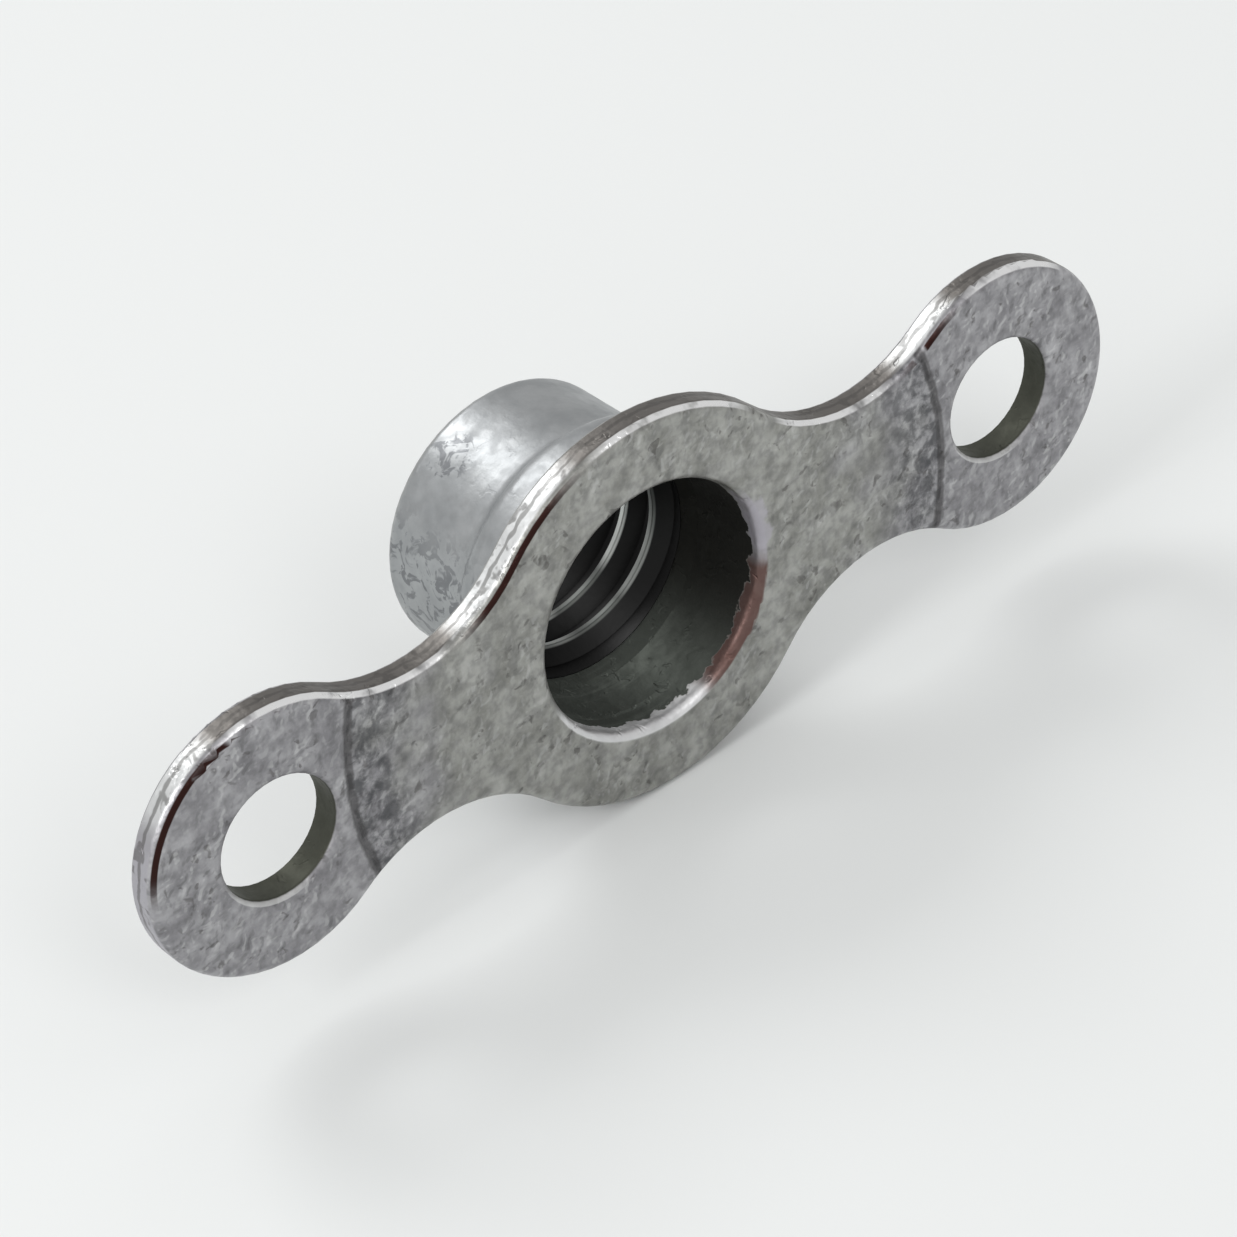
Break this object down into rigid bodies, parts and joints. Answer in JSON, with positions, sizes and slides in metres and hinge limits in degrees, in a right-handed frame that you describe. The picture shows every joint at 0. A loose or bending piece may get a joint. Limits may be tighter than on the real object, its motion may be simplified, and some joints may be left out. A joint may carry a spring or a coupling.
{
  "type": "anchor nut",
  "caption": "Fixed anchor nut: a flat plate with a rivet hole in each ear, and a counterbored, threaded barrel standing from the middle of its back.",
  "frame": {"origin": "centre of the rivet hole pattern on the mounting face, on the thread's axis", "axes": "+X through the rivet holes, +Y along the barrel away from the mounting face, +Z across the plate"},
  "size_m": [0.023, 0.0047, 0.0082],
  "materials": {
    "steel": "dull worn plating, mottled grey with small dark spots"
  },
  "bodies": {
    "root": {"anchor_nut": "steel"}
  },
  "joints": []
}
